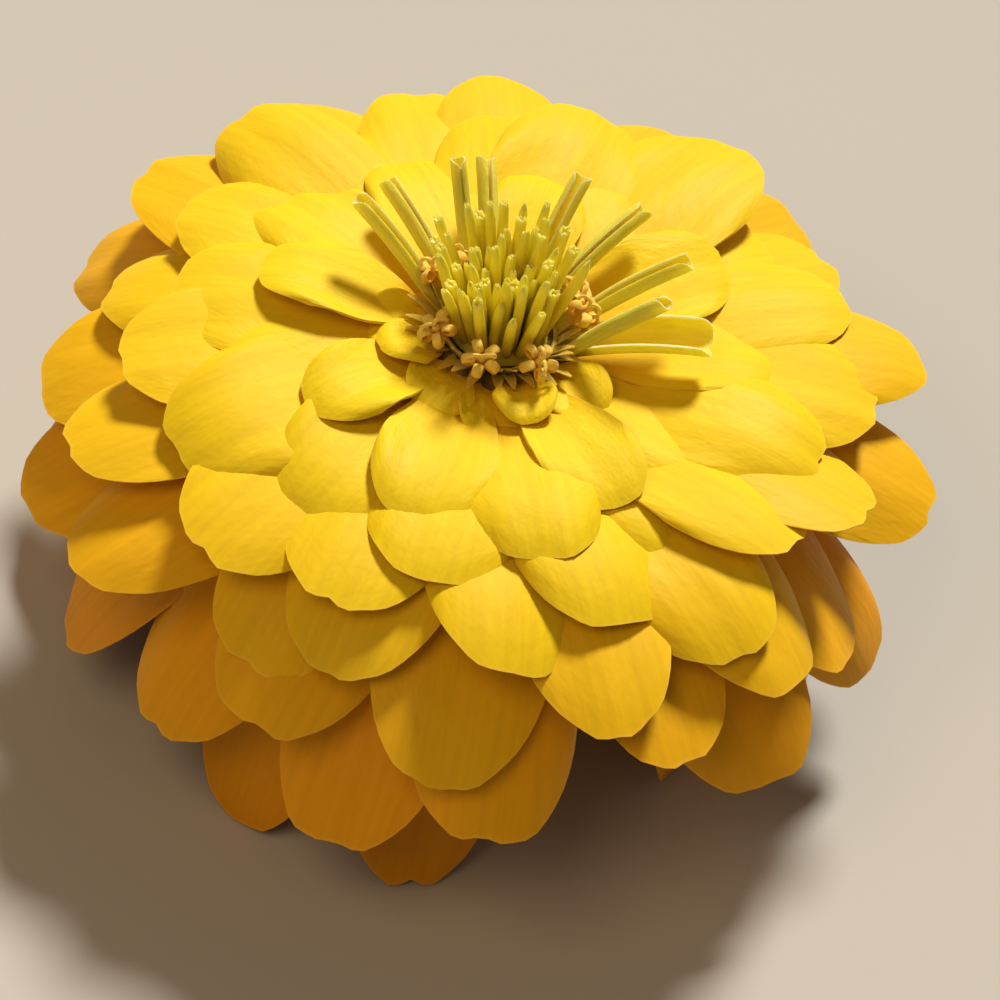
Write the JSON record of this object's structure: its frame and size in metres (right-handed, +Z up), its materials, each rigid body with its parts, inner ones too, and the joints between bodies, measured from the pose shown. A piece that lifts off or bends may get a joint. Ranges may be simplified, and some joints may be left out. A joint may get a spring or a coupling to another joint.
{
  "type": "zinnia flower",
  "caption": "Picked double zinnia bloom that rests face up on its drooping outer petals, with tubular disc florets at its eye, a scaly green cup and a short stub of stem.",
  "frame": {"origin": "on the surface that the bloom rests on, below the middle of its box", "axes": "+Z up along the bloom's own axis, from the cut stem to the eye; -Y is the side that the picture shows in front"},
  "size_m": [0.0918, 0.0932, 0.0531],
  "materials": {
    "ray_petals": "soft living petal, satin, lemon above and golden orange in the lower rows",
    "disc_tubes": "waxy green-yellow florets with pale rims",
    "open_florets": "velvety amber florets",
    "involucre": "smooth green bracts with dark fringed tips",
    "stem": "ribbed, finely hairy green stem with a pale cut end"
  },
  "bodies": {
    "root": {"ray_petals": "ray_petals", "disc_tubes": "disc_tubes", "open_florets": "open_florets", "involucre": "involucre", "stem": "stem"}
  },
  "joints": []
}
